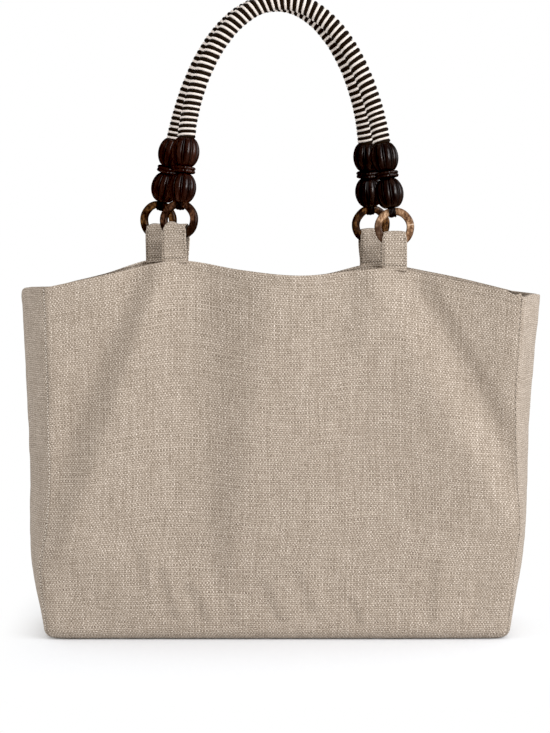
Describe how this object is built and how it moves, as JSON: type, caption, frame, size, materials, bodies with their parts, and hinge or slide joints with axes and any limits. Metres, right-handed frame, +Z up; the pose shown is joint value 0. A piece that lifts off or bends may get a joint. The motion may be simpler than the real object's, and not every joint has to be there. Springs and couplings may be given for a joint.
{
  "type": "tote bag",
  "caption": "Soft linen tote bag that stands on a flat base, with arched handles of rope wound in dark and cream cord, carved dark beads and rings held in cloth tabs on the rim",
  "frame": {"origin": "middle of the base, on the surface that the bag stands on", "axes": "+X to the right seen from the front, +Y to the back, +Z up"},
  "size_m": [0.478, 0.1604, 0.586],
  "materials": {
    "linen": "natural undyed linen in a slubbed plain weave, matt",
    "wound_cord": "rope bound in alternate turns of dark brown and cream cotton cord",
    "dark_wood": "dark stained wood, carved and satin polished",
    "loop_cord": "near-black flat cord",
    "dark_ring": "dark brown polished shell-like wood with amber streaks",
    "pale_ring": "pale tan polished shell-like wood with brown marbling"
  },
  "bodies": {
    "root": {"front_panel": "linen", "side_panel_right": "linen", "back_panel": "linen", "side_panel_left": "linen", "base_panel": "linen", "tab_front_left": "linen", "ring_front_left": "dark_ring", "loop_front_left": "loop_cord", "bead_lower_front_left": "dark_wood", "collar_front_left": "dark_wood", "bead_upper_front_left": "dark_wood", "tab_front_right": "linen", "ring_front_right": "pale_ring", "loop_front_right": "loop_cord", "bead_lower_front_right": "dark_wood", "collar_front_right": "dark_wood", "bead_upper_front_right": "dark_wood", "tab_back_left": "linen", "ring_back_left": "dark_ring", "loop_back_left": "loop_cord", "bead_lower_back_left": "dark_wood", "collar_back_left": "dark_wood", "bead_upper_back_left": "dark_wood", "tab_back_right": "linen", "ring_back_right": "dark_ring", "loop_back_right": "loop_cord", "bead_lower_back_right": "dark_wood", "collar_back_right": "dark_wood", "bead_upper_back_right": "dark_wood", "handle_front": "wound_cord", "handle_back": "wound_cord"}
  },
  "joints": []
}
